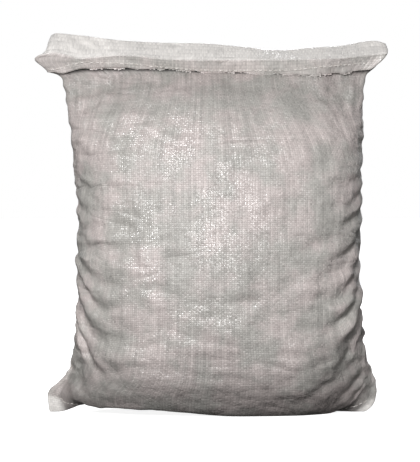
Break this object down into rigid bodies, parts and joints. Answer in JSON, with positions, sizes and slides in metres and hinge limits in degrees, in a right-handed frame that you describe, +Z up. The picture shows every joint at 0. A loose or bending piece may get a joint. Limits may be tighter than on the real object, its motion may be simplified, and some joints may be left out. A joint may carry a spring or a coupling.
{
  "type": "bag of pumice",
  "caption": "Full woven plastic sack of pumice stones, standing on its base, with the mouth folded over and sewn shut.",
  "frame": {"origin": "on the floor, in the flat face that the sack rests on, under the middle of the sewn mouth", "axes": "+Z up through the sewn mouth, the front with the folded flap faces -Y, the width runs along X"},
  "size_m": [0.4962, 0.1897, 0.5415],
  "materials": {
    "woven_polypropylene": "satin woven tape",
    "polyester_thread": "matte"
  },
  "bodies": {
    "root": {"filled_sack": "woven_polypropylene", "top_seam_front_thread": "polyester_thread", "top_seam_back_thread": "polyester_thread", "bottom_seam_thread": "polyester_thread"}
  },
  "joints": []
}
